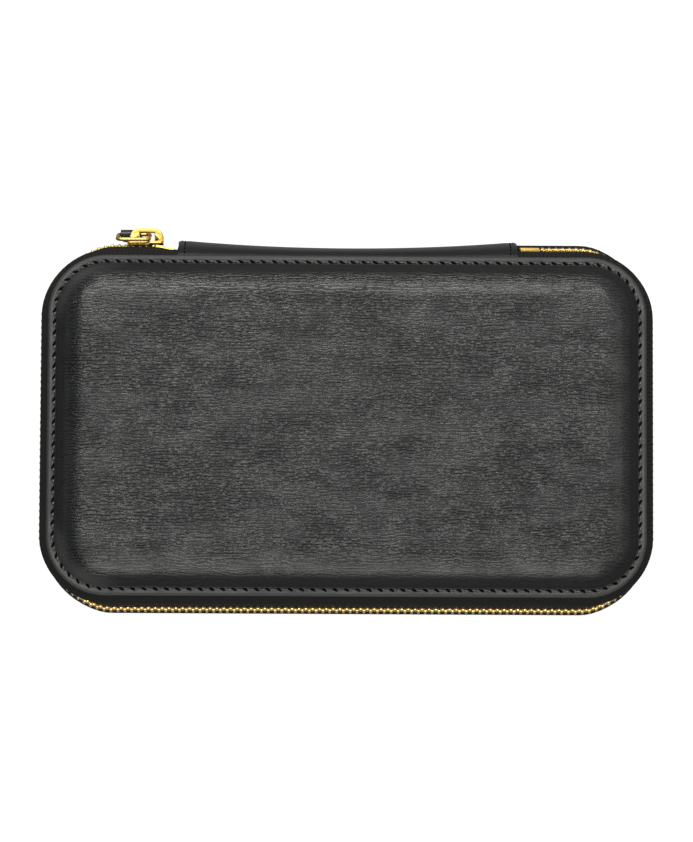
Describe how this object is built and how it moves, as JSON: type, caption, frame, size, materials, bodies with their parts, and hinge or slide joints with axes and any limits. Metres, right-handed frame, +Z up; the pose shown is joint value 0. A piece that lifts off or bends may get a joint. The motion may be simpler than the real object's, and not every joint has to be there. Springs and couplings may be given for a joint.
{
  "type": "poker chip case",
  "caption": "Zip-around leather clamshell case with a padded-look moulded lid, a flexible spine hinge, a metal zip with ring pull, and racks inside for chips and cards.",
  "frame": {"origin": "centre of the flat back face that the closed case lies on", "axes": "+X along the case's length, +Y towards the spine, +Z up through the lid"},
  "size_m": [0.2276, 0.1439, 0.05],
  "materials": {
    "leather": "fine-grained black leather, satin",
    "spine_leather": "smooth black leather, semi-gloss",
    "thread": "waxed black thread",
    "zip_tape": "black twill tape",
    "brass": "polished gold-coloured brass",
    "board": "plain grey-brown board",
    "lining": "black microfibre lining",
    "tray": "black flocked plastic"
  },
  "bodies": {
    "base": {"base_cover": "leather", "base_board": "board", "base_lining": "lining", "base_seam": "thread", "base_tape": "zip_tape", "base_teeth": "brass", "hinge_side_teeth": "brass", "parting_teeth": "brass", "zip_stops": "brass", "spine": "spine_leather", "spine_lining": "lining", "spine_stitches": "thread", "lid_tape_ends": "zip_tape", "left_chip_rack": "tray", "middle_chip_rack": "tray", "right_chip_rack": "tray", "card_box": "tray"},
    "lid": {"lid_cover": "leather", "lid_board": "board", "lid_lining": "lining", "lid_seam": "thread", "lid_tape": "zip_tape", "lid_teeth": "brass"},
    "slider": {"slider": "brass", "slider_bridge": "brass"},
    "ring": {"pull_ring": "brass"},
    "tab": {"pull_tab": "spine_leather", "pull_tab_stitches": "thread"}
  },
  "joints": [
    {"name": "lid_hinge", "type": "hinge", "parent": "base", "child": "lid", "pos_m": [0, 0.07055, 0.025], "axis": [-1, 0, 0], "range_deg": [0, 180], "deforming": ["spine", "spine_lining", "spine_stitches", "lid_tape_ends"]},
    {"name": "zip_slide", "type": "slide", "parent": "base", "child": "slider", "axis": [-1, 0, 0], "range_m": [0, 0.005], "deforming": ["parting_teeth"]},
    {"name": "ring_swing", "type": "hinge", "parent": "slider", "child": "ring", "pos_m": [-0.0742, 0.0718, 0.025], "axis": [0, 0, -1], "range_deg": [0, 180]},
    {"name": "tab_swing", "type": "hinge", "parent": "ring", "child": "tab", "pos_m": [-0.08013, 0.07345, 0.01923], "axis": [1, 0, 0], "range_deg": [-20, 12]}
  ]
}
